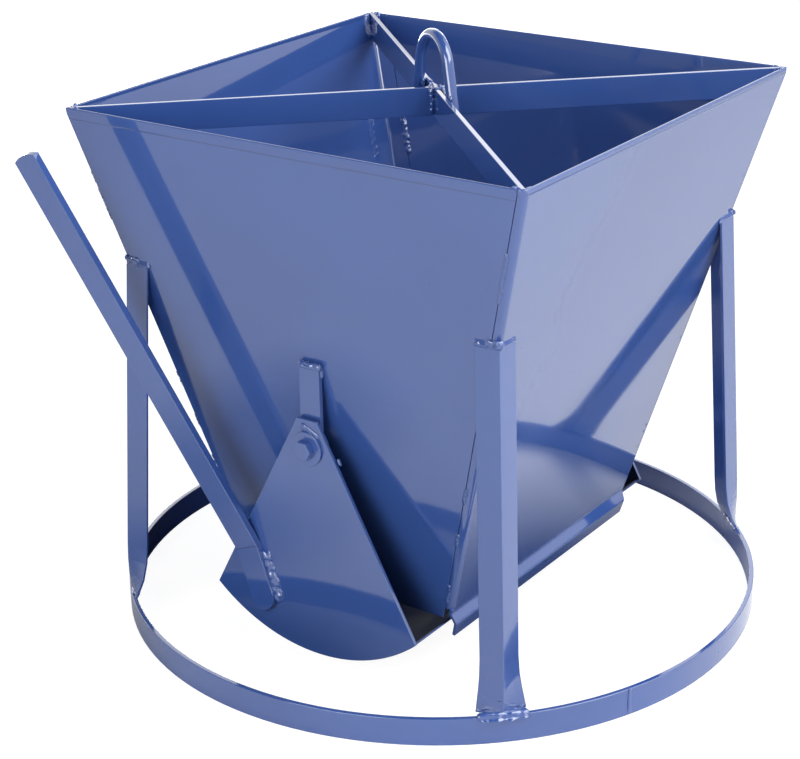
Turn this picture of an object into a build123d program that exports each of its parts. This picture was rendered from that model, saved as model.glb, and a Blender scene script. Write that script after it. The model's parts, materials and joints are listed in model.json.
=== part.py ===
from build123d import *
import os
from math import asin, atan, atan2, cos, degrees, hypot, radians, sin, tan

# Bottom-discharge concrete skip: a sheet-steel hopper on four angle-iron legs and a ground ring, with
# crossed bars and a lifting eye in its mouth, and a radial gate under its outlet that a lever swings.
# Millimetres, +Z up. The origin is the centre of the ground ring, on the floor. The lever is at the
# front, towards -Y, and the lipped plate is at the right, towards +X.

# Hopper
rim_length = 543.0  # outside, along X
rim_width = 524.0  # outside, along Y
rim_height = 570.0  # top edge above the floor
rim_band = 6.5  # upright band bent along the top of the side plates
sheet = 3.0
bend_radius = 3.0  # inside radius of the lip's bends
fold_radius = 4.0  # inside radius of the corner folds
outlet_height = 68.0  # bottom edge above the floor
outlet_left = 123.5  # outside of the left plate at the outlet, from the middle
outlet_set_out = 9.0  # how much further out the right plate stands at the outlet
outlet_width = 354.0  # outside, along Y
front_flange = 8.0  # right plate's edge folded round the front right corner
back_flange = 25.0  # left plate's edge folded round the back left corner
seam_gap = 0.8  # open seam between a folded edge and its neighbour

# Lip of the right plate, which hangs outside the closed gate
lip_start = 7.0  # first bend above the outlet's edge
lip_joggle = 11.0  # height of the step outwards
lip_step = 8.0  # step outwards
lip_drop = 15.0  # straight lip under the step

# Crossed bars and lifting eye
bar_height = 30.0
bar_thickness = 5.0
bar_gap = 0.1  # between the long bar's ends and the folded corners
eye_diameter = 12.0
eye_radius = 35.0  # middle line of the eye's round top
eye_splay = 16.6  # how far its legs spread from upright, degrees
eye_rise = 60.0  # top of the eye above the rim
eye_depth = 20.0  # how far its legs reach down beside the long bar
eye_gap = 0.3  # between the legs and the bar at the rim
eye_weld_width = 20.0
eye_weld_depth = 5.0  # out from the bar
eye_weld_drop = 2.0  # top of the weld under the rim

# Ground ring and legs
ring_diameter = 700.0  # outside
ring_height = 30.0
ring_thickness = 5.0
leg_width = 28.0
leg_thickness = 3.0
leg_top = 405.0  # above the floor
foot_height = 55.0  # length over which the angle is opened out
foot_half_angle = 84.0  # half the angle between the flanges at the sole, degrees
narrow_half_angle = 66.0  # the same at the front right foot, which is opened less
foot_inset = 1.0  # from the ring's outside to the foot's corner
foot_draw = 4.0  # how far opening the angle draws its corner in at the sole
foot_steps = 4  # sections of the opened-out foot

# Pivots
pivot_height = 250.0
bolt_diameter = 12.0
bolt_across = 19.0  # hexagon of head and nut, across flats
head_height = 7.5
nut_height = 10.0
bolt_stub = 2.0  # thread that stands out of the nut
nut_room = 3.0  # between the bolt's end and the hopper
head_washer_thickness = 3.0
head_washer_diameter = 37.0
spacer_thickness = 2.5
spacer_diameter = 24.0
hanger_width = 25.0
hanger_thickness = 5.0
hanger_below = 16.0  # hanger's end below the pivot
fixed_clearance = 0.05  # radial, bolt in hanger, washers and nut
running_clearance = 0.08  # radial, gate on its bolt

# Gate
gate_plate = 4.0
gate_sheet = 3.0
gate_gap = 3.5  # between the gate's shell and the hopper's left edge
gate_overlap = 1.2  # how far the gate's corner stands past the hopper's left edge
gate_depth = 235.0  # lowest point under the pivot
gate_tip_width = 25.0
gate_tip_rise = 31.0  # flat tip above the pivot
shell_set_back = 4.0  # shell's right edge behind the plates' corner

# Lever
lever_width = 30.0
lever_thickness = 8.0
lever_offset = 119.0  # from the pivot to the lever's middle line
lever_lean = 19.3  # to the left of upright, degrees
lever_low = 168.0  # lower end, along the lever from its point nearest the pivot
lever_bend = 96.7  # bend, measured the same way
lever_reach = 467.0  # length above the bend
lever_kick = 10.5  # outward bend, degrees
lever_turn = 5.3  # how much more the length above the bend leans to the left, degrees
lever_dome = 3.5  # bulge of the top end
lever_toe = 8.0  # rounding of the lower end's left corner
lever_heel = 18.0  # rounding of its right corner

# Values that follow
outer_bend = bend_radius + sheet
step_top = outlet_height + lip_start
step_foot = step_top - lip_joggle
lip_foot = step_foot - lip_drop
lip_joint = step_top + outer_bend  # above the lip's first bend
far = rim_length + rim_width  # longer than anything in the hopper
turn = {"right": 0, "back": 90, "left": 180, "front": -90}
rim_half = {"right": rim_length / 2, "left": rim_length / 2, "front": rim_width / 2, "back": rim_width / 2}
band_foot = rim_height - rim_band
knee = {"right": band_foot, "left": band_foot, "front": rim_height, "back": rim_height}
outlet_half = {
    "right": outlet_left + outlet_set_out,
    "left": outlet_left,
    "front": outlet_width / 2,
    "back": outlet_width / 2,
}


def slope(side):
    return (rim_half[side] - outlet_half[side]) / (knee[side] - outlet_height)


def lean_at(side, level):
    """How far a plate leans out for each millimetre up, below its bend or in the upright band above it."""
    return slope(side) if level < knee[side] else 0.0


def wall_at(side, level, inset=0.0):
    """How far out a plate's outside, or a face inset behind it, stands at a level."""
    lean = lean_at(side, level)
    return rim_half[side] - lean * (knee[side] - level) - inset * hypot(1, lean)


def knee_at(side, inset):
    """Where a face inset behind the plate's outside turns upright."""
    return (rim_half[side] - inset, knee[side] + inset * (hypot(1, slope(side)) - 1) / slope(side))


def along(section, side):
    """A section drawn outwards and upwards, run along one side of the hopper."""
    return Rot(0, 0, turn[side]) * extrude(Plane.XZ * section, amount=far, both=True)


def core(side, inset):
    """All that lies inside a plate's outside, or inside a face inset behind it."""
    bend = knee_at(side, inset)
    points = [(-far, 0), (wall_at(side, 0, inset), 0), bend, (bend[0], far), (-far, far)]
    return along(make_face(Polyline(*points, close=True)), side)


def between(low, high):
    """Everything between two levels."""
    return Pos(0, 0, (low + high) / 2) * Box(far, far, high - low)


def facing(side, lean=0.0):
    """Outward direction square to a plate that leans."""
    return Vector(1, 0, -lean).normalized().rotate(Axis.Z, turn[side])


def fold_rounding(side, fold, inset, radius, bottom, beyond):
    """Strips that lie between the sharp corner of two faces and its rounding, and some way beyond.

    One follows the leaning plate and one its upright band. They are mitred where their middle lines meet.
    """
    strips, middles, rises = [], [], []
    for level in (bottom, knee[side]):
        leans = [lean_at(name, level) for name in (side, fold)]
        squares = [facing(name, lean) for name, lean in zip((side, fold), leans)]
        corner = Vector(0, 0, level)
        for name in (side, fold):
            corner += facing(name) * wall_at(name, level, inset)
        both = squares[0] + squares[1]
        middle = corner - both * (radius / (1 + squares[0].dot(squares[1])))
        tangents = [middle + square * radius for square in squares]
        arc = ThreePointArc(tangents[0], middle + both.normalized() * radius, tangents[1])
        ends = [tangent + square * beyond for tangent, square in zip(tangents, squares)]
        edge = Polyline(tangents[1], ends[1], corner + both * beyond, ends[0], tangents[0])
        rise = facing(side) * leans[0] + facing(fold) * leans[1] + Vector(0, 0, 1)
        strips.append(extrude(make_face(arc + edge), far, dir=rise, both=True))
        middles.append(middle)
        rises.append(rise)
    apart = (middles[1] - rises[1] * (knee[side] - bottom) - middles[0]).dot(facing(side))
    meet = middles[0] + rises[0] * (apart / slope(side))
    mitre = Plane(meet, z_dir=rises[0].normalized() + rises[1].normalized())
    halves = (split(strips[0], mitre, Keep.BOTTOM), split(strips[1], mitre, Keep.TOP))
    return [half & between(bottom, rim_height) for half in halves]


def covering_plate(side, plain_end, folded_end, flange):
    """A plate that covers one neighbour's plain edge and meets the other neighbour's folded edge."""
    plate = (core(side, 0) - core(side, sheet)) & between(outlet_height, rim_height)
    return plate & core(plain_end, 0) & core(folded_end, flange + seam_gap)


def folded_plate(side, fold, butt, bottom, flange):
    """A plate with one edge folded round onto its neighbour and the other butting on its neighbour."""
    outside = core(side, 0) & core(fold, 0) & core(butt, sheet) & between(bottom, rim_height)
    plate = outside - (core(side, sheet) & core(fold, sheet)) - core(side, flange)
    plate -= fold_rounding(side, fold, 0, fold_radius + sheet, bottom, sheet)
    return plate + fold_rounding(side, fold, sheet, fold_radius, bottom, sheet / 4)


def lip():
    """The joggled strip under the right plate, drawn as the middle line of its section."""
    middle = sheet / 2
    points = [(wall_at("right", level, middle), level) for level in (lip_joint, step_top)]
    points += [(wall_at("right", level, middle) + lip_step, level) for level in (step_foot, lip_foot)]
    strip = along(trace(FilletPolyline(*points, radius=bend_radius + middle), sheet), "right")
    return strip & core("front", 0) & core("back", sheet) & between(0, lip_joint)


def hopper_corner(x_side, y_side, level):
    """Plan position of the hopper's outside corner at a level, with its signs."""
    x_sign = 1 if x_side == "right" else -1
    y_sign = 1 if y_side == "back" else -1
    return Vector(x_sign * wall_at(x_side, level), y_sign * wall_at(y_side, level))


def angle_section(corner, outward, half_angle, level):
    """Section of an angle iron whose flanges open by twice half_angle, seen from above."""
    inward = outward * -1
    run = {}
    for hand in (1, -1):
        flange = inward.rotate(Axis.Z, hand * half_angle)
        square = inward.rotate(Axis.Z, hand * (half_angle - 90))
        run[hand] = (corner + flange * leg_width, corner + flange * leg_width + square * leg_thickness)
    throat = corner + inward * (leg_thickness / sin(radians(half_angle)))
    points = [corner, run[1][0], run[1][1], throat, run[-1][1], run[-1][0]]
    return Pos(0, 0, level) * make_face(Polyline(*points, close=True))


def leg(x_side, y_side, sole_half_angle):
    """Angle-iron leg from the hopper's corner to the ring, its foot opened out to stand on the ring."""
    seat = hopper_corner(x_side, y_side, leg_top)
    diagonal = Vector(1 if x_side == "right" else -1, 1 if y_side == "back" else -1).normalized()
    top = seat + diagonal * (leg_thickness / sin(radians(45)))
    radial = top.normalized()
    shank_end = radial * (ring_diameter / 2 - foot_inset + foot_draw)
    foot_top = ring_height + foot_height

    def shank_corner(level):
        return top + (shank_end - top) * ((leg_top - level) / (leg_top - ring_height))

    shank = [angle_section(shank_corner(level), diagonal, 45, level) for level in (leg_top, foot_top)]
    foot = []
    for step in range(foot_steps):
        share = step / (foot_steps - 1)
        ease = share * share
        level = foot_top - share * foot_height
        outward = (diagonal + (radial - diagonal) * ease).normalized()
        half_angle = 45 + (sole_half_angle - 45) * ease
        corner = shank_corner(level) - radial * (foot_draw * ease)
        foot.append(angle_section(corner, outward, half_angle, level))
    return loft(shank, ruled=True) + loft(foot, ruled=True)


def hexagon(low, high):
    return Pos(0, 0, low) * extrude(RegularPolygon(bolt_across / 2, 6, major_radius=False), high - low)


def disc(diameter, low, high):
    return Pos(0, 0, low) * extrude(Circle(diameter / 2), high - low)


parts = {}

# Hopper plates. Front and back lie over the plain edges of the side plates, and each side plate has
# its other edge folded round the corner.
parts["hopper_front_plate"] = covering_plate("front", "left", "right", front_flange)
parts["hopper_back_plate"] = covering_plate("back", "right", "left", back_flange)
parts["hopper_right_plate"] = folded_plate("right", "front", "back", lip_joint, front_flange) + lip()
parts["hopper_left_plate"] = folded_plate("left", "back", "front", outlet_height, back_flange)

# Crossed bars, set on edge flush with the rim, their ends cut to the corners. The long bar's ends stop at
# the roundings of the folded corners.
def mouth(inset):
    return core("right", inset) & core("left", inset) & core("front", inset) & core("back", inset)


bar_angle = degrees(atan2(rim_width, rim_length))
bar = Pos(0, 0, rim_height - bar_height / 2) * Box(far, bar_thickness, bar_height)
long_bar = (Rot(0, 0, -bar_angle) * bar) & mouth(sheet + fold_radius * (1 - cos(radians(45))) + bar_gap)
halves = ((Rot(0, 0, bar_angle) * bar) & mouth(sheet)) - long_bar
left_half, right_half = halves.solids().sort_by(Axis.X)
parts["cross_bar_long"] = long_bar
parts["cross_bar_left"] = left_half
parts["cross_bar_right"] = right_half

# Lifting eye over the crossing. It stands askew to the long bar, with a leg on each side of it, and
# welds fill the gaps between its legs and the bar.
splay = radians(eye_splay)
eye_centre = rim_height + eye_rise - eye_diameter / 2 - eye_radius
eye_foot = rim_height - eye_depth


def leg_reach(level):
    """How far a leg's middle stands from the middle of the eye."""
    return eye_radius / cos(splay) + (eye_centre - level) * tan(splay)


tangents = [(hand * eye_radius * cos(splay), 0, eye_centre + eye_radius * sin(splay)) for hand in (1, -1)]
feet = [(hand * leg_reach(eye_foot), 0, eye_foot) for hand in (1, -1)]
eye_line = Line(feet[0], tangents[0])
eye_line += ThreePointArc(tangents[0], (0, 0, eye_centre + eye_radius), tangents[1])
eye_line += Line(tangents[1], feet[1])
eye = sweep(Plane(feet[0], z_dir=eye_line % 0) * Circle(eye_diameter / 2), path=eye_line)
askew = degrees(asin((bar_thickness / 2 + eye_diameter / 2 + eye_gap) / leg_reach(rim_height)))
eye = Rot(0, 0, askew - bar_angle) * eye
parts["lifting_eye"] = eye

weld_top = rim_height - eye_weld_drop
weld_out = leg_reach((eye_foot + weld_top) / 2) * cos(radians(askew))
weld = Box(eye_weld_width, eye_weld_depth, weld_top - eye_foot, align=(Align.CENTER, Align.MIN, Align.MIN))
weld = Rot(0, 0, -bar_angle) * Pos(weld_out, bar_thickness / 2, eye_foot) * weld - eye
parts["eye_welds"] = Compound(children=[weld.solid(), (Rot(0, 0, 180) * weld).solid()])

# Ground ring and legs
ring = disc(ring_diameter, 0, ring_height) - disc(ring_diameter - 2 * ring_thickness, 0, ring_height)
parts["base_ring"] = ring
for y_side in ("front", "back"):
    for x_side in ("left", "right"):
        opened = narrow_half_angle if (y_side, x_side) == ("front", "right") else foot_half_angle
        parts[f"leg_{y_side}_{x_side}"] = leg(x_side, y_side, opened)

# Pivots at front and back. Each stack is drawn about the gate plate's outer face: head washer and bolt
# head outwards, and gate plate, spacer washer, hanger and nut inwards. The hanger's top is set so that
# the nut has room in front of the hopper.
spacer_depth = gate_plate + spacer_thickness
hanger_depth = spacer_depth + hanger_thickness
nut_depth = hanger_depth + nut_height
hanger_top = (nut_height + bolt_stub + nut_room) / slope("front")
gate_face = wall_at("front", pivot_height + hanger_top) + hanger_depth
fixed_hole = bolt_diameter + 2 * fixed_clearance

# Gate side plate, drawn about the pivot: two straight edges down from a flat tip, and a belly arc
edge_drop = pivot_height - outlet_height
corner_reach = hypot(outlet_left, edge_drop) + gate_gap + gate_sheet
corner_angle = atan(outlet_left / edge_drop) + gate_overlap / corner_reach
corner_x = corner_reach * sin(corner_angle)
corner_y = -corner_reach * cos(corner_angle)
tip_half = gate_tip_width / 2
gate_outline = Polyline((-corner_x, corner_y), (-tip_half, gate_tip_rise), (tip_half, gate_tip_rise))
gate_outline += Line((tip_half, gate_tip_rise), (corner_x, corner_y))
gate_outline += ThreePointArc((corner_x, corner_y), (0, -gate_depth), (-corner_x, corner_y))
gate_sector = make_face(gate_outline) - Circle(bolt_diameter / 2 + running_clearance)

for end, sign in (("front", -1), ("back", 1)):
    stack = Plane(origin=(0, sign * gate_face, pivot_height), x_dir=(-sign, 0, 0), z_dir=(0, sign, 0))
    parts[f"gate_{end}_plate"] = stack * extrude(gate_sector, -gate_plate)
    spacer = disc(spacer_diameter, -spacer_depth, -gate_plate) - disc(fixed_hole, -spacer_depth, 0)
    parts[f"spacer_washer_{end}"] = stack * spacer
    strap = Pos(0, (hanger_top - hanger_below) / 2) * Rectangle(hanger_width, hanger_top + hanger_below)
    strap -= Circle(fixed_hole / 2)
    parts[f"hanger_{end}"] = stack * Pos(0, 0, -hanger_depth) * extrude(strap, hanger_thickness)
    nut = hexagon(-nut_depth, -hanger_depth) - disc(fixed_hole, -nut_depth, 0)
    parts[f"pivot_nut_{end}"] = stack * nut
    head_washer = disc(head_washer_diameter, 0, head_washer_thickness)
    parts[f"head_washer_{end}"] = stack * (head_washer - disc(fixed_hole, 0, head_washer_thickness))
    bolt = hexagon(head_washer_thickness, head_washer_thickness + head_height)
    bolt += disc(bolt_diameter, -nut_depth - bolt_stub, head_washer_thickness)
    parts[f"pivot_bolt_{end}"] = stack * bolt

# Gate shell, rolled to the belly arc between the side plates, its right edge set back from the corner
belly_sag = gate_depth + corner_y
belly_radius = (corner_x**2 + belly_sag**2) / (2 * belly_sag)
belly_middle = (0, belly_radius - gate_depth)
half_sweep = degrees(atan2(corner_x, belly_radius - belly_sag))
set_back = degrees(shell_set_back / belly_radius)
sweep_start = 270 - half_sweep
sweep_size = 2 * half_sweep - set_back
outer_arc = CenterArc(belly_middle, belly_radius, sweep_start, sweep_size)
inner_arc = CenterArc(belly_middle, belly_radius - gate_sheet, sweep_start, sweep_size)
shell_ends = [Line(outer_arc @ place, inner_arc @ place) for place in (0, 1)]
shell_section = make_face(outer_arc + shell_ends[0] + inner_arc + shell_ends[1])
shell = extrude(Plane.XZ * shell_section, gate_face - gate_plate, both=True)
parts["gate_shell"] = Pos(0, 0, pivot_height) * shell

# Lever: flat bar, straight along the gate's front plate up to a bend, and above it kicked outwards and
# a little further to the left. Both lengths are drawn along X from the bend with the bar's face on the
# plate, the upper one is turned, and the two are mitred.
def flat_bar(start, end):
    bar = Box(end - start, lever_thickness, lever_width, align=(Align.MIN, Align.MIN, Align.CENTER))
    return Pos(start, 0, 0) * bar


spare = lever_width  # length past the bend that the mitre cuts off
lower = flat_bar(lever_bend - lever_low, spare)
toe_edge, heel_edge = lower.edges().filter_by(Axis.Y).group_by(Axis.X)[0].sort_by(Axis.Z)
lower = fillet(toe_edge, lever_toe)
heel_edge = lower.edges().filter_by(Axis.Y).sort_by_distance(heel_edge.center())[0]
lower = fillet(heel_edge, lever_heel)
dome_radius = (lever_width**2 / 4 + lever_dome**2) / (2 * lever_dome)
dome_start = lever_reach - dome_radius
dome = extrude(Plane.XZ * Pos(dome_start, 0) * Circle(dome_radius), -lever_thickness)
upper = flat_bar(-spare, dome_start) + (flat_bar(dome_start, lever_reach) & dome)
kick = radians(lever_kick)
aside = radians(lever_turn)
lower_run = Vector(1, 0, 0)
upper_run = Vector(cos(kick) * cos(aside), sin(kick), -cos(kick) * sin(aside))
bend_axis = Axis((0, 0, 0), lower_run.cross(upper_run))
upper_across = Vector(0, 0, 1).rotate(bend_axis, lower_run.get_angle(upper_run))
upper = Plane((0, 0, 0), x_dir=upper_run, z_dir=upper_across) * upper
mitre = Plane((0, 0, 0), z_dir=lower_run + upper_run)
lever = split(lower, mitre, Keep.BOTTOM) + split(upper, mitre, Keep.TOP)
lean = radians(lever_lean)
up_lever = Vector(-sin(lean), 0, cos(lean))
across_lever = Vector(cos(lean), 0, sin(lean))
pivot = Vector(0, -gate_face, pivot_height)
lever_seat = pivot - across_lever * lever_offset - up_lever * lever_bend
parts["gate_lever"] = Plane(lever_seat, x_dir=up_lever, z_dir=across_lever) * lever

os.makedirs("parts", exist_ok=True)
for name, shape in parts.items():
    export_step(shape, f"parts/{name}.step")
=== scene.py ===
import json
import math
import random

import bpy
from mathutils import Matrix, Vector

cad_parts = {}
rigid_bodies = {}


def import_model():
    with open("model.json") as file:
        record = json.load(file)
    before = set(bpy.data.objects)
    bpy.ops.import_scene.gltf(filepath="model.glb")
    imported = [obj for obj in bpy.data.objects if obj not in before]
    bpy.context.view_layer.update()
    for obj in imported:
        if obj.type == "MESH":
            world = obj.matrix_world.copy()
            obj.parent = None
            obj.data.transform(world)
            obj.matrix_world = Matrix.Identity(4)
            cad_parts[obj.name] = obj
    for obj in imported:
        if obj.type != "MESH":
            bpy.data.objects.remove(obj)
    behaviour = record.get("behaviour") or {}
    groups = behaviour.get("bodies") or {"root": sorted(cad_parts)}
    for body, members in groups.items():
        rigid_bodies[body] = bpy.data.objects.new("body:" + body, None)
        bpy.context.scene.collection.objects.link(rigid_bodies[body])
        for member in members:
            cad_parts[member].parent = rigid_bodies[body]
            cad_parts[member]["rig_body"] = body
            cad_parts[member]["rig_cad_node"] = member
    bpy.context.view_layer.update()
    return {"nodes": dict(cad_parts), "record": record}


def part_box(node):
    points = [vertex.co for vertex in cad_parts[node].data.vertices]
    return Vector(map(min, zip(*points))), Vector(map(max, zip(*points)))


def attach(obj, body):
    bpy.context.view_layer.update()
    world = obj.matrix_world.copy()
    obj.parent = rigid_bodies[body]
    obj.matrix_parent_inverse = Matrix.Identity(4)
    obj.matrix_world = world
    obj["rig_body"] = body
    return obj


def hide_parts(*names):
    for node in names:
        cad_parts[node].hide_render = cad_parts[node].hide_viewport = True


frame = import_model()
cadNodes = frame["nodes"]
bodyNodes = frame["record"]["behaviour"]["bodies"]
bodyOf = {node: body for body, members in bodyNodes.items() for node in members}
slotOf = {part["node"]: part["material_slot"] for part in frame["record"]["subparts"]}


def deselectAll():
    if bpy.context.mode != "OBJECT":
        bpy.ops.object.mode_set(mode="OBJECT")
    bpy.ops.object.select_all(action="DESELECT")


def pickOnly(piece):
    deselectAll()
    piece.select_set(True)
    bpy.context.view_layer.objects.active = piece


# leaves the piece in edit mode, with only the vertices picked whose level fits
def pickVertices(piece, fits):
    bpy.ops.object.mode_set(mode="EDIT")
    bpy.ops.mesh.select_mode(type="VERT")
    bpy.ops.mesh.select_all(action="DESELECT")
    bpy.ops.object.mode_set(mode="OBJECT")
    for vertex in piece.data.vertices:
        vertex.select = fits(vertex.co.z)
    bpy.ops.object.mode_set(mode="EDIT")


def applyModifier(piece, kind, **values):
    modifier = piece.modifiers.new(kind.lower(), kind)
    for key, value in values.items():
        setattr(modifier, key, value)
    pickOnly(piece)
    bpy.ops.object.modifier_apply(modifier=modifier.name)


# Paint: one blue gloss coat over all the steel, uneven in its film and gloss, with a few specks

def addNode(tree, kind, inputs=None, **values):
    node = tree.nodes.new(kind)
    for key, value in values.items():
        setattr(node, key, value)
    for key, value in (inputs or {}).items():
        if hasattr(value, "node"):
            tree.links.new(value, node.inputs[key])
        else:
            node.inputs[key].default_value = value
    return node


def maths(tree, operation, *values):
    return addNode(tree, "ShaderNodeMath", dict(enumerate(values)), operation=operation).outputs[0]


def vectorMaths(tree, operation, *values):
    node = addNode(tree, "ShaderNodeVectorMath", dict(enumerate(values)), operation=operation)
    return node.outputs["Value" if operation in ("LENGTH", "DISTANCE", "DOT_PRODUCT") else "Vector"]


def partsOf(tree, vector):
    return addNode(tree, "ShaderNodeSeparateXYZ", {"Vector": vector}).outputs


def noise(tree, place, scale, detail, rough=0.5):
    inputs = {"Vector": place, "Scale": scale, "Detail": detail, "Roughness": rough}
    return addNode(tree, "ShaderNodeTexNoise", inputs).outputs["Fac"]


def stretch(tree, value, low, high, toLow=0.0, toHigh=1.0):
    inputs = {"Value": value, "From Min": low, "From Max": high, "To Min": toLow, "To Max": toHigh}
    return addNode(tree, "ShaderNodeMapRange", inputs).outputs["Result"]


def bump(tree, height, distance, below=None):
    inputs = {"Height": height, "Strength": 1.0, "Distance": distance}
    if below is not None:
        inputs["Normal"] = below
    return addNode(tree, "ShaderNodeBump", inputs).outputs["Normal"]


def mixColour(tree, share, first, second):
    node = addNode(tree, "ShaderNodeMix", {0: share, 6: first, 7: second}, data_type="RGBA")
    return node.outputs[2]


# a dark line painted along a bend, as the shade in its crease, with a fine groove bumped in, on the outside of
# the sheet or bar
def alongBend(tree, place, look):
    level = vectorMaths(tree, "DOT_PRODUCT", place, look["across"])
    apart = maths(tree, "ABSOLUTE", maths(tree, "SUBTRACT", level, look["bendLine"]))
    width = look["lineWidth"]
    onLine = stretch(tree, apart, width * look["lineCore"], width, look["lineShade"], 0.0)
    past = partsOf(tree, vectorMaths(tree, "SUBTRACT", vectorMaths(tree, "ABSOLUTE", place), look["outside"]))
    isOutside = maths(tree, "GREATER_THAN", maths(tree, "MAXIMUM", past["X"], past["Y"]), 0.0)
    return maths(tree, "MULTIPLY", onLine, isOutside)


# the inside of the gate, where shade is painted: nearer to the shell's axis than the shell, and between the
# side plates' faces
def inTrough(tree, place, trough):
    fromAxis = vectorMaths(tree, "SUBTRACT", place, (0, 0, trough["middle"]))
    fromAxis = vectorMaths(tree, "LENGTH", vectorMaths(tree, "MULTIPLY", fromAxis, (1, 0, 1)))
    within = maths(tree, "LESS_THAN", fromAxis, trough["radius"])
    depth = maths(tree, "ABSOLUTE", partsOf(tree, place)["Y"])
    return maths(tree, "MULTIPLY", within, maths(tree, "LESS_THAN", depth, trough["face"]))


def paint(name, look):
    material = bpy.data.materials.new(name)
    material.use_nodes = True
    tree = material.node_tree
    shader = tree.nodes["Principled BSDF"]
    place = addNode(tree, "ShaderNodeTexCoord").outputs["Object"]
    # colour: slow drift in film thickness, and a few dark specks in the lacquer
    drift = stretch(tree, noise(tree, place, look["driftScale"], detail=3.0), *look["driftRange"])
    colour = mixColour(tree, drift, look["thin"], look["thick"])
    cells = addNode(tree, "ShaderNodeTexVoronoi", {"Vector": place, "Scale": look["speckScale"]})
    speckEdge = (look["speckSize"], look["speckSize"] * look["speckCore"])
    pick = stretch(tree, cells.outputs["Distance"], *speckEdge)
    patches = noise(tree, place, look["speckScale"] * look["speckPatches"], detail=0.0)
    seldom = stretch(tree, patches, *look["speckRange"], 0.0, look["speckShade"])
    colour = mixColour(tree, maths(tree, "MULTIPLY", pick, seldom), colour, look["speck"])
    # paints the shade of a bend's crease as a dark line
    if look.get("bendLine"):
        onLine = alongBend(tree, place, look)
        colour = mixColour(tree, onLine, colour, look["speck"])
    # paints shade into the gate's trough and onto the inner faces of its side plates
    if look.get("trough"):
        colour = mixColour(tree, inTrough(tree, place, look["trough"]), colour, look["trough"]["colour"])
    tree.links.new(colour, shader.inputs["Base Color"])
    # gloss: a little uneven, with the orange peel of a sprayed coat and slow waves in the steel under it
    gloss = noise(tree, place, look["glossScale"], detail=4.0, rough=0.6)
    gloss = stretch(tree, gloss, *look["glossRange"], *look["roughness"])
    tree.links.new(gloss, shader.inputs["Roughness"])
    waves = bump(tree, noise(tree, place, look["waveScale"], detail=1.0), look["waveHeight"])
    peel = noise(tree, place, look["peelScale"], detail=2.0, rough=0.55)
    relief = bump(tree, peel, look["peelHeight"], waves)
    if look.get("bendLine"):
        relief = bump(tree, stretch(tree, onLine, 0.0, 1.0, 1.0, 0.0), look["lineDepth"], relief)
    if look.get("lumpHeight"):
        inputs = {"Vector": place, "Scale": look["lumpScale"]}
        lumps = addNode(tree, "ShaderNodeTexVoronoi", inputs, feature="SMOOTH_F1")
        relief = bump(tree, lumps.outputs["Distance"], look["lumpHeight"], relief)
    tree.links.new(relief, shader.inputs["Normal"])
    tree.links.new(relief, shader.inputs["Coat Normal"])
    shader.inputs["IOR"].default_value = look["ior"]
    shader.inputs["Coat Weight"].default_value = look["coat"]
    shader.inputs["Coat Roughness"].default_value = look["coatRoughness"]
    shader.inputs["Coat IOR"].default_value = look["coatIor"]
    return material


blue = {
    "thin": (0.041, 0.096, 0.325, 1),
    "thick": (0.037, 0.086, 0.295, 1),
    "driftScale": 5.0,
    "driftRange": (0.35, 0.65),
    "speck": (0.02, 0.035, 0.12, 1),
    "speckScale": 48.0,
    "speckSize": 0.05,
    "speckCore": 0.5,  # share of a speck that is fully dark
    "speckPatches": 0.37,  # scale of the patches that have specks, as a share of the specks' own
    "speckRange": (0.62, 0.66),
    "speckShade": 0.55,
    "glossScale": 22.0,
    "glossRange": (0.3, 0.7),
    "roughness": (0.05, 0.11),
    "waveScale": 9.0,
    "waveHeight": 0.0001,
    "peelScale": 420.0,
    "peelHeight": 0.000012,
    "ior": 1.5,
    "coat": 1.0,
    "coatRoughness": 0.035,
    "coatIor": 1.65,
}
barBlue = {**blue, "waveScale": 16.0, "waveHeight": 0.00005, "peelHeight": 0.00002}
weldBlue = {**blue, "peelScale": 700.0, "peelHeight": 0.00005, "lumpScale": 260.0, "lumpHeight": 0.0003}
fastenerBlue = {**blue, "peelHeight": 0.00003}
smoothWeldBlue = {**barBlue, "peelHeight": 0.00003}
bendShadeLine = {
    "lineWidth": 0.0008,
    "lineCore": 0.3,  # share of the line that is fully dark
    "lineShade": 0.6,
    "lineDepth": 0.00015,
    "across": (0, 0, 1),  # the bend's level is measured this way
}
flatBlue = {**blue, **bendShadeLine, "bendLine": 0.5587, "outside": (1, 0.2585, 0)}
bentBlue = {**blue, **bendShadeLine, "bendLine": 0.5652, "outside": (0.2698, 1, 0)}
leverBlue = {
    **barBlue,
    **bendShadeLine,
    "across": (-0.3719, -0.0916, 0.9238),
    "bendLine": 0.1616,
    "outside": (1, 0.2385, 0),
}
troughShade = {  # painted shade inside the gate's trough and on the inner faces of its side plates
    "middle": 0.2091,
    "radius": 0.1926,
    "face": 0.2306,
    "colour": (0.008, 0.012, 0.035, 1),
}
gateBlue = {**blue, "trough": troughShade}
shellBlue = {**gateBlue, "roughness": (0.4, 0.55), "coat": 0.0}  # dulled by concrete, and keeps the trough's painted shade

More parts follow.
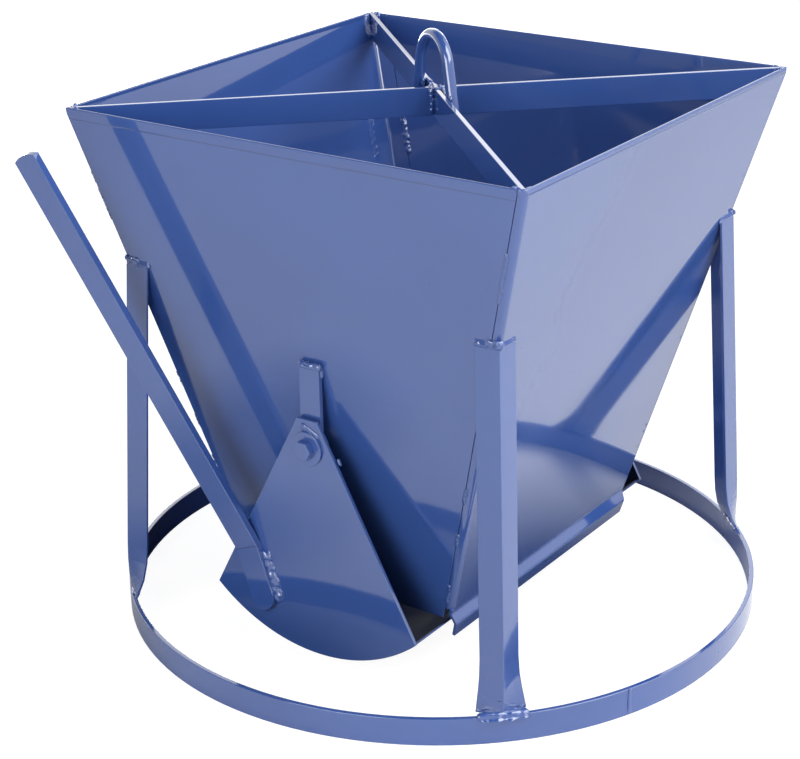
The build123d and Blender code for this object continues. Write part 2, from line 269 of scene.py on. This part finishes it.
finishes = {
    "sheet_paint": paint("sheetPaint", blue),
    "bar_paint": paint("barPaint", barBlue),
    "weld_paint": paint("weldPaint", weldBlue),
    "fastener_paint": paint("fastenerPaint", fastenerBlue),
}
flatSheet = paint("flatSheetPaint", flatBlue)
bentSheet = paint("bentSheetPaint", bentBlue)
creased = paint("creasedBarPaint", leverBlue)
scouredShadedShell = paint("scouredShadedPaint", shellBlue)
gateSheet = paint("gateSheetPaint", gateBlue)
smoothWeld = paint("smoothWeldPaint", smoothWeldBlue)
ownFinish = {  # pieces that differ from the rest of their slot
    "hopper_front_plate": flatSheet,
    "hopper_back_plate": flatSheet,
    "hopper_right_plate": bentSheet,
    "hopper_left_plate": bentSheet,
    "gate_lever": creased,
    "gate_shell": scouredShadedShell,
    "gate_front_plate": gateSheet,
    "gate_back_plate": gateSheet,
}
print("paint: done")


# Softened edges: a copy of each sheet and bar with its sharp edges broken, as paint leaves them

soften = {  # width of the broken edge
    "hopper_front_plate": 0.0005,
    "hopper_back_plate": 0.0005,
    "hopper_right_plate": 0.0005,
    "hopper_left_plate": 0.0005,
    "cross_bar_long": 0.0006,
    "cross_bar_left": 0.0006,
    "cross_bar_right": 0.0006,
    "leg_front_left": 0.0009,
    "leg_front_right": 0.0009,
    "leg_back_left": 0.0009,
    "leg_back_right": 0.0009,
    "base_ring": 0.0008,
    "hanger_front": 0.0007,
    "hanger_back": 0.0007,
    "gate_front_plate": 0.0006,
    "gate_back_plate": 0.0006,
    "gate_shell": 0.0005,
    "gate_lever": 0.0008,
    "head_washer_front": 0.0005,
    "head_washer_back": 0.0005,
    "pivot_bolt_front": 0.0011,
    "pivot_bolt_back": 0.0011,
    "pivot_nut_front": 0.0008,
    "pivot_nut_back": 0.0008,
}
brokenEdge = {
    "angle": 28,  # degrees between faces from which an edge is broken
    "creaseAngle": {"gate_lever": 8},  # low enough to show the crease of its bend
    "steps": 3,
    "merge": 0.00001,
    "flatAngle": 0.3,
    "sliver": 0.004,  # share of the width under which the bevel's slivers are merged
    "normalWeight": 100,
}
roundedRim = {
    "nodes": [node for node in soften if node.startswith("hopper")],
    "above": 0.5695,
    "radius": 0.00125,
    "steps": 4,
}


def softenedCopy(node, width):
    pickOnly(cadNodes[node])
    bpy.ops.object.duplicate()
    piece = bpy.context.view_layer.objects.active
    piece.name = node + "_painted"
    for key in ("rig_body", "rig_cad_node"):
        del piece[key]
    piece.parent = None
    bpy.ops.object.mode_set(mode="EDIT")
    bpy.ops.mesh.select_all(action="SELECT")
    bpy.ops.mesh.customdata_custom_splitnormals_clear()
    bpy.ops.mesh.remove_doubles(threshold=brokenEdge["merge"])
    bpy.ops.mesh.dissolve_limited(angle_limit=math.radians(brokenEdge["flatAngle"]))
    if node in roundedRim["nodes"]:
        pickVertices(piece, lambda level: level > roundedRim["above"])
        bpy.ops.mesh.bevel(offset=roundedRim["radius"], offset_type="OFFSET", segments=roundedRim["steps"],
                           affect="EDGES")
    bpy.ops.object.mode_set(mode="OBJECT")
    angle = brokenEdge["creaseAngle"].get(node, brokenEdge["angle"])
    applyModifier(piece, "BEVEL", width=width, segments=brokenEdge["steps"], limit_method="ANGLE",
                  angle_limit=math.radians(angle))
    bpy.ops.object.mode_set(mode="EDIT")
    bpy.ops.mesh.select_all(action="SELECT")
    bpy.ops.mesh.remove_doubles(threshold=width * brokenEdge["sliver"])
    bpy.ops.mesh.dissolve_degenerate(threshold=width * brokenEdge["sliver"])
    bpy.ops.object.mode_set(mode="OBJECT")
    bpy.ops.object.shade_smooth()
    applyModifier(piece, "WEIGHTED_NORMAL", mode="FACE_AREA", weight=brokenEdge["normalWeight"])
    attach(piece, bodyOf[node])
    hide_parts(node)
    piece.data.materials.clear()
    piece.data.materials.append(ownFinish.get(node, finishes[slotOf[node]]))


for node, width in soften.items():
    softenedCopy(node, width)
for node, piece in cadNodes.items():
    if node not in soften and node != "eye_welds":
        piece.data.materials.clear()
        piece.data.materials.append(finishes[slotOf[node]])
print("softened edges: done")


# Welds: hand-laid beads. Each is a row of overlapping lumps that is fused into one lumpy skin.

hopper = {  # the hopper's outside, half widths in metres, to place what is welded to it
    "rimHalf": {"right": 0.2715, "left": 0.2715, "front": 0.262, "back": 0.262},
    "outletHalf": {"right": 0.1325, "left": 0.1235, "front": 0.177, "back": 0.177},
    "rimTop": 0.57,
    "knee": {"right": 0.5635, "left": 0.5635, "front": 0.57, "back": 0.57},
    "outlet": 0.068,
    "sheet": 0.003,
    "fold": {"right": 0.0084, "left": 0.0254},  # from a folded corner to the seam beside it
}
upward = Vector((0, 0, 1))
outward = {
    "right": Vector((1, 0, 0)),
    "left": Vector((-1, 0, 0)),
    "front": Vector((0, -1, 0)),
    "back": Vector((0, 1, 0)),
}
corners = [(xSide, ySide) for ySide in ("front", "back") for xSide in ("left", "right")]
folded = (("right", "front"), ("left", "back"))  # corners where a side plate is folded round

weldLook = {
    "pitch": 0.27,  # from lump to lump, as a share of the bead's width
    "lumpLength": 0.55,  # half sizes of a lump, as shares of the bead's width
    "lumpWidth": 0.5,
    "wander": 0.1,  # to either side, as a share of the bead's width
    "uneven": 0.16,
    "voxel": 0.0009,
    "rippleSize": 0.0035,
    "rippleHeight": 0.0009,
    "smoothFactor": 0.5,
    "seed": 11,
}
lumpShape = {"crestAbove": 0.5, "crestShift": 0.22, "baseBelow": -0.05, "baseHeight": 0.3}
chance = random.Random(weldLook["seed"])
ripple = bpy.data.textures.new("weldRipple", "CLOUDS")
ripple.noise_scale = weldLook["rippleSize"]

# one lump, flattened where it lies on the steel and with its crest pushed towards one end
deselectAll()
bpy.ops.mesh.primitive_ico_sphere_add(subdivisions=2, radius=1.0)
lump = bpy.context.object
lump.name = "weldLump"
pickVertices(lump, lambda level: level > lumpShape["crestAbove"])
bpy.ops.transform.translate(value=(lumpShape["crestShift"], 0, 0))
pickVertices(lump, lambda level: level < lumpShape["baseBelow"])
bpy.ops.transform.resize(value=(1, 1, lumpShape["baseHeight"]), center_override=(0, 0, 0))
bpy.ops.object.mode_set(mode="OBJECT")


def wallAt(side, level):
    rim, outlet = hopper["rimHalf"][side], hopper["outletHalf"][side]
    lean = (rim - outlet) / (hopper["knee"][side] - hopper["outlet"])
    return rim - lean * max(0.0, hopper["knee"][side] - level)


def cornerAt(xSide, ySide, level, inset=0.0):
    spot = outward[xSide] * (wallAt(xSide, level) - inset) + outward[ySide] * (wallAt(ySide, level) - inset)
    return spot + Vector((0, 0, level))


def layBead(pile, start, end, width, height, out):
    start, end, out = Vector(start), Vector(end), Vector(out)
    run = end - start
    along = run.normalized()
    out = (out - along * out.dot(along)).normalized()
    across = out.cross(along)
    turned = Matrix((along, across, out)).transposed().to_4x4()
    count = max(2, round(run.length / (width * weldLook["pitch"])) + 1)
    low, high = 1 - weldLook["uneven"], 1 + weldLook["uneven"]
    halfSizes = (weldLook["lumpLength"] * width, weldLook["lumpWidth"] * width, height)
    for step in range(count):
        wander = chance.uniform(-weldLook["wander"], weldLook["wander"])
        spot = start + run * (step / (count - 1)) + across * wander * width
        size = [half * chance.uniform(low, high) for half in halfSizes]
        pile.append(Matrix.Translation(spot) @ turned @ Matrix.Diagonal((*size, 1)))


def fuseBeads(name, pile, body, replaced=(), ripples=1.0, smoothing=1, coat=None):
    copies = []
    for spot in pile:
        piece = lump.copy()
        piece.data = lump.data.copy()
        bpy.context.collection.objects.link(piece)
        piece.matrix_world = spot
        copies.append(piece)
    deselectAll()
    for piece in copies:
        piece.select_set(True)
    bpy.context.view_layer.objects.active = copies[0]
    bpy.ops.object.join()
    weld = bpy.context.object
    weld.name = name
    bpy.ops.object.transform_apply(location=True, rotation=True, scale=True)
    applyModifier(weld, "REMESH", mode="VOXEL", voxel_size=weldLook["voxel"])
    applyModifier(weld, "DISPLACE", texture=ripple, texture_coords="GLOBAL",
                  strength=weldLook["rippleHeight"] * ripples)
    applyModifier(weld, "SMOOTH", factor=weldLook["smoothFactor"], iterations=smoothing)
    bpy.ops.object.shade_smooth()
    weld.data.materials.clear()
    weld.data.materials.append(coat or finishes["weld_paint"])
    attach(weld, body)
    if replaced:
        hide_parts(*replaced)
    print(name, len(weld.data.polygons), "faces")


# bar ends in the rim's corners: an upright bead on each side of the bar, and a flat pair over the corner
barWeld = {
    "low": 0.547,
    "high": 0.566,
    "width": 0.0105,
    "height": 0.0026,
    "fromCorner": 0.0085,
    "lean": 0.4,
    "topDrop": 0.0006,
    "topReach": 0.006,
    "topWidth": 0.0042,
    "topHeight": 0.0011,
}
pile = []
for xSide, ySide in corners:
    for side, other in ((xSide, ySide), (ySide, xSide)):
        ends = []
        for level in (barWeld["low"], barWeld["high"]):
            corner = cornerAt(xSide, ySide, level, hopper["sheet"])
            ends.append(corner - outward[other] * barWeld["fromCorner"])
        out = -outward[side] - outward[other] * barWeld["lean"]
        layBead(pile, *ends, barWeld["width"], barWeld["height"], out)
    inner = cornerAt(xSide, ySide, hopper["rimTop"] - barWeld["topDrop"], hopper["sheet"])
    for side in (xSide, ySide):
        end = inner - outward[side] * barWeld["topReach"]
        layBead(pile, inner, end, barWeld["topWidth"], barWeld["topHeight"], upward)
fuseBeads("weldBarEnds", pile, "frame", ripples=1.6)

# crossing of the bars, and the eye's legs on the long bar's two faces; places are along the long bar
# towards the front right, across it towards the back right, and up
eyeWeld = {
    "barAngle": -43.98,
    "legs": (
        ((0.034, 0.0045, 0.552), (0.0345, 0.0045, 0.5685)),
        ((0.0515, 0.0045, 0.552), (0.0505, 0.0045, 0.5685)),
    ),
    "legWidth": 0.007,
    "legHeight": 0.003,
    "crossing": (
        ((0.004, -0.0045, 0.567), (0.004, -0.0045, 0.546), 0.0062, 0.0032),
        ((-0.004, 0.0045, 0.567), (-0.004, 0.0045, 0.548), 0.0062, 0.003),
        ((0.0045, 0.0045, 0.5685), (0.0055, 0.0055, 0.552), 0.0085, 0.0045),
        ((0.007, 0.0055, 0.5665), (0.027, 0.005, 0.5645), 0.0085, 0.0042),
        ((-0.0045, -0.0045, 0.5675), (-0.0045, -0.0045, 0.55), 0.007, 0.0034),
        ((-0.037, -0.0008, 0.57), (-0.023, 0.0004, 0.57), 0.0052, 0.0018),
        ((-0.01, 0.0004, 0.57), (0.009, -0.0004, 0.57), 0.006, 0.0016),
    ),
    "topWithin": 0.002,  # a bead that starts nearer to the bar's middle lies on its top edge
}
toBar = Matrix.Rotation(math.radians(eyeWeld["barAngle"]), 3, "Z")
pile = []
for hand in (1, -1):
    turned = toBar @ Matrix.Diagonal((hand, hand, 1))
    for low, high in eyeWeld["legs"]:
        layBead(pile, turned @ Vector(low), turned @ Vector(high), eyeWeld["legWidth"], eyeWeld["legHeight"],
                turned @ outward["back"])
for start, end, width, height in eyeWeld["crossing"]:
    isOnTop = abs(start[1]) <= eyeWeld["topWithin"]
    out = upward if isOnTop else Vector((start[0], start[1], 0))
    layBead(pile, toBar @ Vector(start), toBar @ Vector(end), width, height, toBar @ out)
fuseBeads("weldLiftingEye", pile, "frame", ["eye_welds"])

# seams: short stitches along the four corners, laid flat in the folded ones
seamWeld = {
    "outside": {
        ("left", "front"): ((0.503, 0.453), (0.285, 0.27), (0.236, 0.222), (0.19, 0.178)),
        ("right", "front"): ((0.503, 0.455), (0.236, 0.222), (0.178, 0.166), (0.11, 0.09)),
        ("left", "back"): ((0.503, 0.455), (0.3, 0.28), (0.178, 0.166), (0.11, 0.09)),
        ("right", "back"): (),
    },
    "inside": ((0.457, 0.415), (0.3, 0.265), (0.16, 0.13)),
    "foldedSize": (0.0056, 0.0011),  # widths and heights
    "cornerSize": (0.003, 0.0006),
    "insideSize": (0.0085, 0.002),
}
pile = []
for xSide, ySide in corners:
    isFolded = (xSide, ySide) in folded
    shift = outward[xSide] * -hopper["fold"][xSide] if isFolded else Vector()
    out = outward[ySide] if isFolded else outward[xSide] + outward[ySide]
    size = seamWeld["foldedSize" if isFolded else "cornerSize"]
    for high, low in seamWeld["outside"][xSide, ySide]:
        start, end = (cornerAt(xSide, ySide, level) + shift for level in (high, low))
        layBead(pile, start, end, *size, out)
    for high, low in seamWeld["inside"]:
        start, end = (cornerAt(xSide, ySide, level, hopper["sheet"]) + shift for level in (high, low))
        layBead(pile, start, end, *seamWeld["insideSize"], -out)
fuseBeads("weldSeams", pile, "frame", ripples=1.4)

# leg tops: the wedge between the leg's end and the hopper, filled row over row and smooth, and on the corner
# a lump that is left rough
legWeld = {
    "top": 0.405,
    "flange": 0.025,
    "rows": ((0.0008, 0.0029), (0.0038, 0.0012)),  # rise over the leg's top, and height
    "width": 0.0062,
    "lumpRise": (0.0005, 0.005),
    "lumpReach": 0.011,
    "cornerLump": (0.0095, 0.0034),  # widths and heights
    "highLump": (0.008, 0.0026),
    "lowLump": (0.007, 0.003),
    "flush": ("right", "back"),  # has no lump on the corner
}
fill, lumps = [], []
for xSide, ySide in corners:
    for rise, height in legWeld["rows"]:
        corner = cornerAt(xSide, ySide, legWeld["top"] + rise)
        for side, other in ((xSide, ySide), (ySide, xSide)):
            end = corner - outward[other] * legWeld["flange"]
            layBead(fill, corner, end, legWeld["width"], height, outward[side])
    low, high = (cornerAt(xSide, ySide, legWeld["top"] + rise) for rise in legWeld["lumpRise"])
    if (xSide, ySide) != legWeld["flush"]:
        layBead(lumps, low, high, *legWeld["cornerLump"], outward[xSide] + outward[ySide])
    sideways = -outward[xSide] * legWeld["lumpReach"]
    layBead(lumps, high, high + sideways, *legWeld["highLump"], outward[ySide])
    layBead(lumps, low, low + sideways, *legWeld["lowLump"], outward[ySide])
fuseBeads("weldLegTops", fill, "frame", ripples=0.5, smoothing=8, coat=smoothWeld)
fuseBeads("weldLegCorners", lumps, "frame", ripples=2.4)

# feet on the ring: a bead along the ring's top outside, and another inside
footWeld = {  # rows of radius, level, half length, width and height
    "fat": (
        (0.3482, 0.0305, 0.0225, 0.009, 0.004),
        (0.35, 0.0272, 0.0205, 0.011, 0.0018),
        (0.3445, 0.0305, 0.0205, 0.007, 0.0042),
    ),
    "thin": (
        (0.3472, 0.0303, 0.017, 0.0055, 0.0022),
        (0.3445, 0.0305, 0.0205, 0.007, 0.0042),
    ),
    "fatFoot": ("right", "front"),
    "stops": (-1, -0.33, 0.33, 1),  # a row goes round in straight beads, as shares of its half length
}
pile = []
for xSide, ySide in corners:
    corner = cornerAt(xSide, ySide, legWeld["top"])
    middle = math.atan2(corner.y, corner.x)
    rows = footWeld["fat" if (xSide, ySide) == footWeld["fatFoot"] else "thin"]
    for radius, level, reach, width, height in rows:
        spots = []
        for share in footWeld["stops"]:
            angle = middle + share * reach / radius
            spots.append(Vector((radius * math.cos(angle), radius * math.sin(angle), level)))
        for start, end in zip(spots, spots[1:]):
            layBead(pile, start, end, width, height, upward)
# butt joint of the ring
ringJoint = {"angle": -23.4, "radius": 0.35, "low": 0.003, "high": 0.0285, "width": 0.006, "height": 0.0014}
around = math.radians(ringJoint["angle"])
radial = Vector((math.cos(around), math.sin(around), 0))
low, high = (radial * ringJoint["radius"] + Vector((0, 0, ringJoint[key])) for key in ("low", "high"))
layBead(pile, low, high, ringJoint["width"], ringJoint["height"], radial)
fuseBeads("weldFeet", pile, "frame", ripples=0.8, smoothing=24, coat=smoothWeld)

# hangers: a fat bead over each top, turned down at its ends
hangerWeld = {
    "width": 0.0085,
    "height": 0.0055,
    "drop": 0.003,
    "inset": 0.002,
    "lean": 0.3,
    "sideWidth": 0.006,
    "sideHeight": 0.003,
    "sideLength": 0.008,
    "aside": 0.0015,
    "behind": 0.002,
}
pile = []
for node, side in (("hanger_front", "front"), ("hanger_back", "back")):
    low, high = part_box(node)
    middle = (low[1] + high[1]) / 2
    level = high[2] - hangerWeld["drop"]
    left = Vector((low[0] + hangerWeld["inset"], middle, level))
    right = Vector((high[0] - hangerWeld["inset"], middle, level))
    out = upward + outward[side] * hangerWeld["lean"]
    layBead(pile, left, right, hangerWeld["width"], hangerWeld["height"], out)
    for end in (left, right):
        aside = Vector((math.copysign(hangerWeld["aside"], end.x), 0, 0))
        start = end - outward[side] * hangerWeld["behind"] + aside
        end = start - upward * hangerWeld["sideLength"]
        layBead(pile, start, end, hangerWeld["sideWidth"], hangerWeld["sideHeight"], aside)
fuseBeads("weldHangers", pile, "frame", ripples=0.8, smoothing=3, coat=smoothWeld)

# lever: a long bead down its right side, on the gate's front plate
leverWeld = {
    "pivot": 0.25,
    "offset": 0.119,  # from the pivot to the lever's middle line
    "half": 0.015,
    "inset": 0.0025,
    "lean": 19.3,
    "start": 0.109,
    "end": 0.156,
    "width": 0.0115,
    "height": 0.0046,
}
low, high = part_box("gate_front_plate")
lean = math.radians(leverWeld["lean"])
upLever = Vector((-math.sin(lean), 0, math.cos(lean)))
acrossLever = Vector((math.cos(lean), 0, math.sin(lean)))
pivot = Vector((0, low[1], leverWeld["pivot"]))
edge = pivot - acrossLever * (leverWeld["offset"] - leverWeld["half"] - leverWeld["inset"])
start, end = (edge - upLever * leverWeld[key] for key in ("start", "end"))
pile = []
layBead(pile, start, end, leverWeld["width"], leverWeld["height"], outward["front"] + acrossLever)
# a short bead over the bolt, placed from the pivot
tipWeld = {"start": (-0.004, 0.0225), "end": (0.0105, 0.0165), "width": 0.0085, "height": 0.0018}
ends = [pivot + Vector((x, 0, z)) for x, z in (tipWeld["start"], tipWeld["end"])]
layBead(pile, *ends, tipWeld["width"], tipWeld["height"], outward["front"])
# a stray lump on the plate's edge, a little behind its face
spatter = {
    "place": (0.0345, 0.2432),
    "behind": 0.0046,
    "run": (0.0015, 0, -0.003),
    "width": 0.0055,
    "height": 0.0025,
    "out": (1, 0.4, 0.4),
}
start = Vector((spatter["place"][0], low[1] + spatter["behind"], spatter["place"][1]))
layBead(pile, start, start + Vector(spatter["run"]), spatter["width"], spatter["height"], spatter["out"])
fuseBeads("weldLever", pile, "gate", smoothing=3)

# gate: stitches between shell and side plates, inside the trough
gateWeld = {
    "radius": 0.1911,
    "middle": 0.2091,
    "angles": (-25, 0, 25),
    "half": 3.4,
    "width": 0.006,
    "height": 0.0028,
}
pile = []
for side, face in (("front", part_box("gate_front_plate")[1][1]), ("back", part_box("gate_back_plate")[0][1])):
    for angle in gateWeld["angles"]:
        ends = []
        for turn in (angle - gateWeld["half"], angle + gateWeld["half"]):
            turn = math.radians(turn)
            level = gateWeld["middle"] - gateWeld["radius"] * math.cos(turn)
            ends.append(Vector((gateWeld["radius"] * math.sin(turn), face, level)))
        layBead(pile, *ends, gateWeld["width"], gateWeld["height"], upward - outward[side])
fuseBeads("weldGate", pile, "gate")

pickOnly(lump)
bpy.ops.object.delete()
print("welds: done")


# Studio: white floor and surround, soft panels, camera as in the photograph

studio = {
    "floorSize": 16.0,
    "floorWhite": 0.25,
    "floorGlow": 0.92,
    "farFloor": (1.0, 3.0),  # where it goes over into the white of the surround
    "bounceWhite": 0.85,
    "bounceShade": 0.06,
    "shadeMiddle": (-0.115, 0.0, 0),  # painted shadow on the floor under the skip, inside its ring
    "shadeRadius": (0.28, 0.42),
    "shadeEdge": (0.343, 0.349),
    "castMiddle": (-0.3, -0.4, 0),  # and a painted shadow where its own shadow falls
    "castRadius": (0.06, 0.2),
    "castShare": 0.4,
    "surround": 0.04,
    "ceiling": 0.03,  # what mirrors see overhead
    "ceilingEdge": (0.45, 0.75),  # where the white surround gives way to it, as the sine of the elevation
    "dimWay": (-0.547, -0.83, 0.1),  # one side of the surround is dim too
    "dimEdge": (0.85, 0.96),
    "dimSide": 0.25,
    "panels": (  # name, place, size and watts
        ("frontPanel", (0.0, -2.82, 1.33), (1.8, 1.8), 53.0),
        ("rightLowPanel", (2.9, 0.0, 0.55), (2.2, 1.0), 23.0),
        ("rightHighPanel", (1.93, 0.0, 2.6), (2.2, 2.2), 82.0),
        ("keyPanel", (1.36, 1.36, 2.6), (2.6, 2.6), 32.0),
        ("backPanel", (-1.7, 2.4, 1.75), (2.4, 1.0), 6.0),
        ("backLowPanel", (-2.2, 2.1, 0.3), (2.6, 0.5), 26.0),
        ("leftLowPanel", (-2.9, 0.4, 0.3), (2.0, 0.5), 8.0),
    ),
    "aim": (0.0, 0.0, 0.3),
}
view = {
    "azimuth": 35.544,
    "elevation": 22.402,
    "roll": -1.132,
    "focal": 2013.155,  # in pixels of a picture 800 wide
    "width": 800.0,
    "sensor": 36.0,
    "place": (1.147736, -1.678730, 1.082259),
}
white = (1, 1, 1, 1)


def grey(level):
    return (level, level, level, 1)


deselectAll()
bpy.ops.mesh.primitive_plane_add(size=studio["floorSize"])
floor = bpy.context.object
floor.name = "studioFloor"
floorPaint = bpy.data.materials.new("studioFloorWhite")
floorPaint.use_nodes = True
tree = floorPaint.node_tree
tree.nodes.clear()
place = addNode(tree, "ShaderNodeTexCoord").outputs["Object"]
fromMiddle = vectorMaths(tree, "LENGTH", place)
# the camera sees it white, with a soft shadow
matt = addNode(tree, "ShaderNodeBsdfDiffuse", {"Color": grey(studio["floorWhite"])})
glowStrength = stretch(tree, fromMiddle, *studio["farFloor"], studio["floorGlow"], 1.0)
glow = addNode(tree, "ShaderNodeEmission", {"Color": white, "Strength": glowStrength})
seenFloor = addNode(tree, "ShaderNodeAddShader", {0: matt.outputs[0], 1: glow.outputs[0]})
# the paint mirrors it and takes its light from it, with painted shadow under the skip and where its shadow
# falls
fading = stretch(tree, vectorMaths(tree, "DISTANCE", place, studio["shadeMiddle"]), *studio["shadeRadius"])
outsideRing = stretch(tree, fromMiddle, *studio["shadeEdge"])
underSkip = maths(tree, "MAXIMUM", fading, outsideRing)
fromCast = vectorMaths(tree, "DISTANCE", place, studio["castMiddle"])
cast = stretch(tree, fromCast, *studio["castRadius"], studio["castShare"], 1.0)
share = maths(tree, "MULTIPLY", underSkip, cast)
shade = mixColour(tree, share, grey(studio["bounceShade"]), grey(studio["bounceWhite"]))
bounce = addNode(tree, "ShaderNodeBsdfDiffuse", {"Color": shade})
isSeen = addNode(tree, "ShaderNodeLightPath").outputs["Is Camera Ray"]
both = addNode(tree, "ShaderNodeMixShader", {0: isSeen, 1: bounce.outputs[0], 2: seenFloor.outputs[0]})
addNode(tree, "ShaderNodeOutputMaterial", {"Surface": both.outputs[0]})
floor.data.materials.append(floorPaint)

world = bpy.data.worlds.new("studioSurround")
bpy.context.scene.world = world
world.use_nodes = True
tree = world.node_tree
tree.nodes.clear()
# white where the camera, a mirror or glass looks at it, with a dim ceiling and a dim side in mirrors,
# and plain light elsewhere
path = addNode(tree, "ShaderNodeLightPath").outputs
isMirrored = maths(tree, "MAXIMUM", path["Is Glossy Ray"], path["Is Transmission Ray"])
towards = addNode(tree, "ShaderNodeTexCoord").outputs["Generated"]
overhead = stretch(tree, partsOf(tree, towards)["Z"], *studio["ceilingEdge"], 1.0, studio["ceiling"])
sideways = vectorMaths(tree, "DOT_PRODUCT", towards, studio["dimWay"])
sideways = stretch(tree, sideways, *studio["dimEdge"], 1.0, studio["dimSide"])
inMirrors = maths(tree, "MULTIPLY", overhead, sideways)
strength = addNode(tree, "ShaderNodeMix", {0: isMirrored, 2: studio["surround"], 3: inMirrors}).outputs[0]
strength = addNode(tree, "ShaderNodeMix", {0: path["Is Camera Ray"], 2: strength, 3: 1.0}).outputs[0]
surround = addNode(tree, "ShaderNodeBackground", {"Color": white, "Strength": strength})
addNode(tree, "ShaderNodeOutputWorld", {"Surface": surround.outputs[0]})

for name, place, size, watts in studio["panels"]:
    toAim = Vector(studio["aim"]) - Vector(place)
    bpy.ops.object.light_add(type="AREA", location=place, rotation=toAim.to_track_quat("-Z", "Y").to_euler())
    panel = bpy.context.object
    panel.name = name
    panel.data.shape = "RECTANGLE"
    panel.data.size, panel.data.size_y = size
    panel.data.energy = watts

azimuth, elevation, roll = (math.radians(view[key]) for key in ("azimuth", "elevation", "roll"))
away = math.cos(elevation)
back = Vector((math.sin(azimuth) * away, -math.cos(azimuth) * away, math.sin(elevation)))
right = upward.cross(back).normalized()
up = back.cross(right)
tiltedRight = right * math.cos(roll) + up * math.sin(roll)
tiltedUp = up * math.cos(roll) - right * math.sin(roll)
turned = Matrix((tiltedRight, tiltedUp, back)).transposed().to_4x4()
bpy.ops.object.camera_add()
camera = bpy.context.object
camera.name = "photoCamera"
camera.matrix_world = Matrix.Translation(view["place"]) @ turned
camera.data.sensor_fit = "HORIZONTAL"
camera.data.sensor_width = view["sensor"]
camera.data.lens = view["focal"] / view["width"] * view["sensor"]
bpy.context.scene.camera = camera
bpy.context.scene.view_settings.view_transform = "Standard"
print("studio: done")
